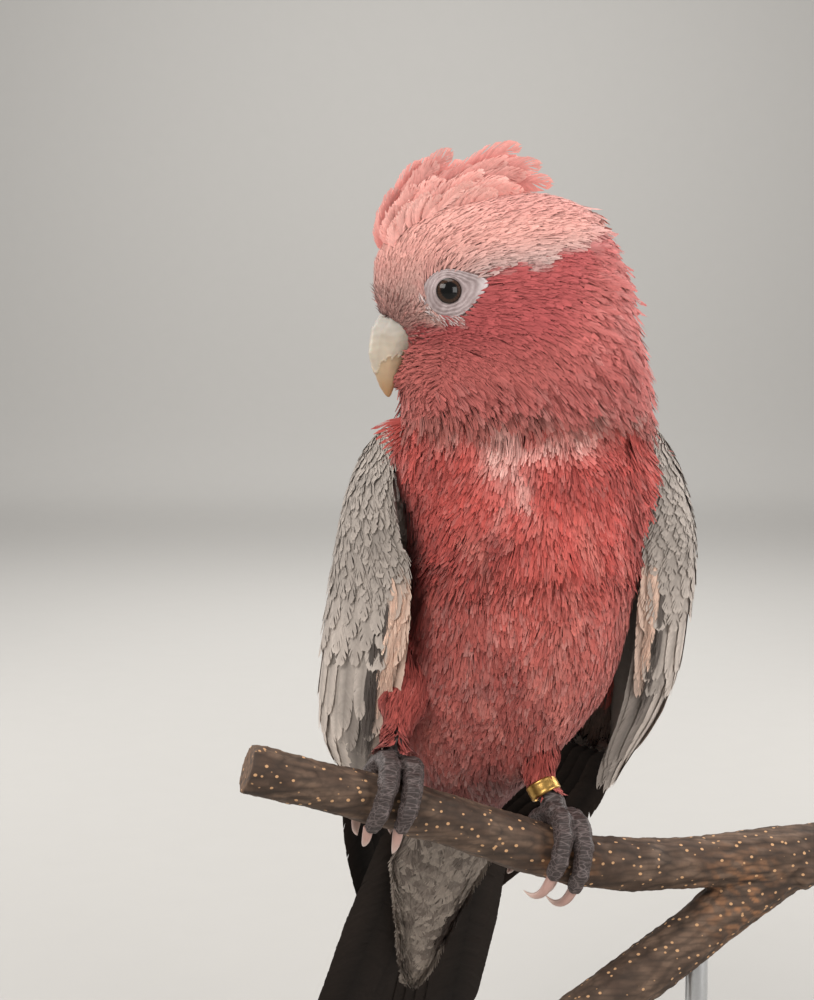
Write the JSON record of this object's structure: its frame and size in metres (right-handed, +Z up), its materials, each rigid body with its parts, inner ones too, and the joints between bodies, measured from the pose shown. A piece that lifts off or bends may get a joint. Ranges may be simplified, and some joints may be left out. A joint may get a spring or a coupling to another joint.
{
  "type": "galah",
  "caption": "Life-size standing galah cockatoo, still model, head turned in profile, gripping a forked cut branch held by a plain display stand.",
  "frame": {"origin": "centre of the display stand base's underside", "axes": "+Z up, -Y the side the chest faces (turned 15 degrees to +X), +X the bird's left side, -X the side the bill points to"},
  "size_m": [0.2191, 0.1829, 0.3821],
  "materials": {
    "face_plumage": "soft matt feathers, rose with a pale cap",
    "crest_plumage": "soft matt feathers, pale salmon pink",
    "breast_plumage": "soft matt feathers, coral rose",
    "wing_plumage": "matt grey coverts with pale edges",
    "flight_plumage": "smooth dark brown flight and tail feathers",
    "undertail_plumage": "soft mottled grey feathers",
    "bill_horn": "smooth horn with fine growth ridges",
    "eye": "polished dark brown eye",
    "foot_skin": "scaled grey skin",
    "claw_horn": "smooth pinkish horn",
    "ring_brass": "bright worn brass, no marking",
    "bark": "dark bark with pale lenticels",
    "stand_board": "painted satin off-white",
    "stand_steel": "brushed"
  },
  "bodies": {
    "root": {"head": "face_plumage", "neck": "face_plumage", "trunk": "breast_plumage", "thigh_left": "breast_plumage", "thigh_right": "breast_plumage", "crest": "crest_plumage", "bill_upper": "bill_horn", "bill_lower": "bill_horn", "eye_left": "eye", "eye_right": "eye", "wing_right": "wing_plumage", "wing_left": "wing_plumage", "primaries_right": "flight_plumage", "primaries_left": "flight_plumage", "tail": "flight_plumage", "undertail_coverts": "undertail_plumage", "foot_right": "foot_skin", "foot_left": "foot_skin", "claw_right_front_outer": "claw_horn", "claw_right_front_inner": "claw_horn", "claw_right_back_inner": "claw_horn", "claw_right_back_outer": "claw_horn", "claw_left_front_outer": "claw_horn", "claw_left_front_inner": "claw_horn", "claw_left_back_inner": "claw_horn", "claw_left_back_outer": "claw_horn", "leg_ring": "ring_brass", "perch_branch": "bark", "stand_base": "stand_board", "stand_rod": "stand_steel", "stand_collar": "stand_steel"}
  },
  "joints": []
}
